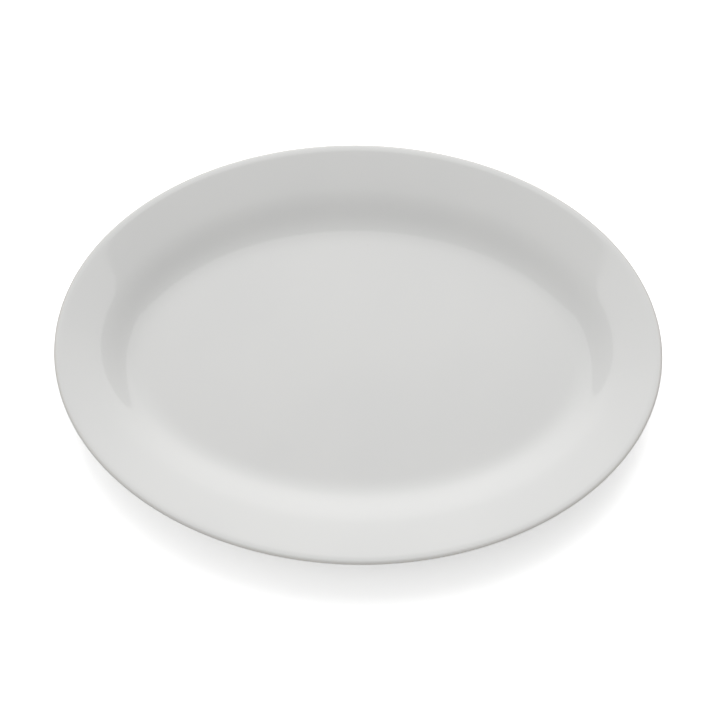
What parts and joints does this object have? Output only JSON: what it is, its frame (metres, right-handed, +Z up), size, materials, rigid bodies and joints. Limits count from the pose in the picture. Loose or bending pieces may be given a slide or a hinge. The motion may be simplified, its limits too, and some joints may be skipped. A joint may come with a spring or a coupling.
{
  "type": "oval serving platter",
  "caption": "Oval china serving platter with a flat well, a soft curved wall, a broad sloping rim with a rounded lip, and a foot ring.",
  "frame": {"origin": "middle of the oval bearing face under the foot ring, on the surface that the platter stands on", "axes": "+X along the platter's length, +Y across its width, +Z up out of the well"},
  "size_m": [0.355, 0.27, 0.0278],
  "materials": {
    "bare_china": "matte",
    "white_glaze": "polished",
    "base_white_glaze": "gloss"
  },
  "bodies": {
    "root": {"china_body": "bare_china", "glaze_coat": "white_glaze", "base_glaze": "base_white_glaze"}
  },
  "joints": []
}
